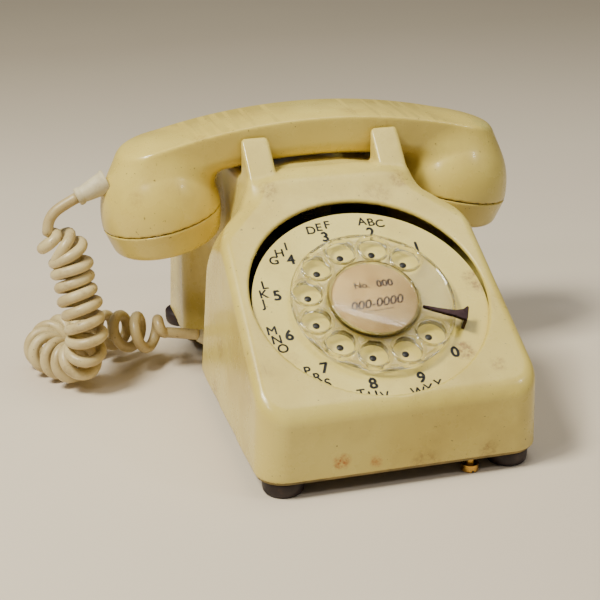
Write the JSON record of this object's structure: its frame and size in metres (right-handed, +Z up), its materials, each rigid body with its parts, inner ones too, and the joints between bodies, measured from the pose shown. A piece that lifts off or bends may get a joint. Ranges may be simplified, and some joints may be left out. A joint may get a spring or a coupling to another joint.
{
  "type": "rotary desk telephone",
  "caption": "Desk telephone with a sloping rotary dial, a handset across a four-eared cradle and a curly handset cord.",
  "frame": {"origin": "on the table under the middle of the telephone, the handset cord left out", "axes": "+X to the user's right along the handset, +Y from the dial to the back, +Z up"},
  "size_m": [0.2544, 0.2304, 0.1343],
  "materials": {
    "ivory_shell": "glossy, aged and rubbed",
    "ivory_handset": "glossy, aged",
    "ivory_plate": "semi-gloss",
    "clear_plastic": "clear, scuffed",
    "card": "paper",
    "dark_metal": "dark nickel, worn edge",
    "rubber_black": "matt",
    "base_steel": "passivated, dull",
    "brass": "dull brass",
    "cord_rubber": "semi-gloss, soiled",
    "boot_rubber": "matt",
    "steel": "plated",
    "aluminium": "satin",
    "phenolic": "matt brown",
    "copper_winding": "varnished winding",
    "network_grey": "matt",
    "clear_switch": "matt"
  },
  "bodies": {
    "base": {"housing": "ivory_shell", "number_plate": "ivory_plate", "finger_stop": "dark_metal", "rubber_feet": "rubber_black", "base_plate": "base_steel", "housing_screw_front": "brass", "housing_screw_rear": "brass", "gong_left": "brass", "gong_right": "brass", "terminal_screws": "brass", "handset_cord_lead": "cord_rubber", "handset_cord_coil": "cord_rubber", "handset_cord_tail": "cord_rubber", "body_cord_boot": "boot_rubber", "dial_bridge": "steel", "dial_posts": "steel", "dial_return_spring": "steel", "hook_bracket": "steel", "hook_pin": "steel", "hook_spring": "steel", "bell_frame": "steel", "bell_core": "steel", "clapper_pin": "steel", "gong_post_left": "steel", "gong_post_right": "steel", "dial_brackets": "steel", "loudness_pin": "steel", "dial_chassis": "aluminium", "governor_cup": "aluminium", "pulse_contacts": "phenolic", "hook_contacts": "phenolic", "bell_coil": "copper_winding", "network_block": "network_grey"},
    "handset": {"handset_handle": "ivory_handset", "transmitter_cap": "ivory_handset", "receiver_cap": "ivory_handset", "transmitter_capsule": "aluminium", "receiver_capsule": "aluminium", "handset_cord_boot": "boot_rubber"},
    "dial": {"finger_wheel": "clear_plastic", "number_card": "card", "card_retainer": "clear_plastic", "dial_shaft": "steel", "main_gear": "steel", "pulse_cam": "phenolic"},
    "governor": {"governor_pinion": "steel", "governor_weights": "steel"},
    "plunger_left": {"plunger_left": "clear_switch"},
    "plunger_right": {"plunger_right": "clear_switch"},
    "hook_lever": {"hook_lever": "steel"},
    "clapper": {"clapper": "steel"},
    "loudness": {"loudness_wheel": "clear_switch"}
  },
  "joints": [
    {"name": "handset_lift", "type": "slide", "parent": "base", "child": "handset", "axis": [0, 0, 1], "range_m": [0, 0.12]},
    {"name": "plunger_left_rise", "type": "slide", "parent": "base", "child": "plunger_left", "axis": [0, 0, 1], "range_m": [0, 0.006]},
    {"name": "plunger_right_rise", "type": "slide", "parent": "base", "child": "plunger_right", "axis": [0, 0, 1], "range_m": [0, 0.006]},
    {"name": "hook_lever_turn", "type": "hinge", "parent": "base", "child": "hook_lever", "pos_m": [0, 0.05925, 0.0893], "axis": [-1, 0, 0], "range_deg": [0, 14]},
    {"name": "dial_turn", "type": "hinge", "parent": "base", "child": "dial", "pos_m": [0, -0.06563, 0.06789], "axis": [0, 0.515, -0.8572], "range_deg": [0, 337], "stiffness_Nm_per_rad": 0.006},
    {"name": "governor_turn", "type": "hinge", "parent": "base", "child": "governor", "pos_m": [0, -0.04557, 0.07994], "axis": [0, 0.515, -0.8572], "range_deg": [-1690, 5]},
    {"name": "clapper_swing", "type": "hinge", "parent": "base", "child": "clapper", "pos_m": [0, -0.01475, 0.0284], "axis": [0, 0, 1], "range_deg": [-3.6, 3.6]},
    {"name": "loudness_turn", "type": "hinge", "parent": "base", "child": "loudness", "pos_m": [-0.0465, -0.03275, 0.0114], "axis": [0, 0, 1], "range_deg": [-60, 60]}
  ],
  "couplings": [
    {"joint": "plunger_left_rise", "follows": "handset_lift", "ratio": 0.05},
    {"joint": "plunger_right_rise", "follows": "handset_lift", "ratio": 0.05},
    {"joint": "hook_lever_turn", "follows": "handset_lift", "rad_per_m": 1.96},
    {"joint": "governor_turn", "follows": "dial_turn", "ratio": -5}
  ]
}
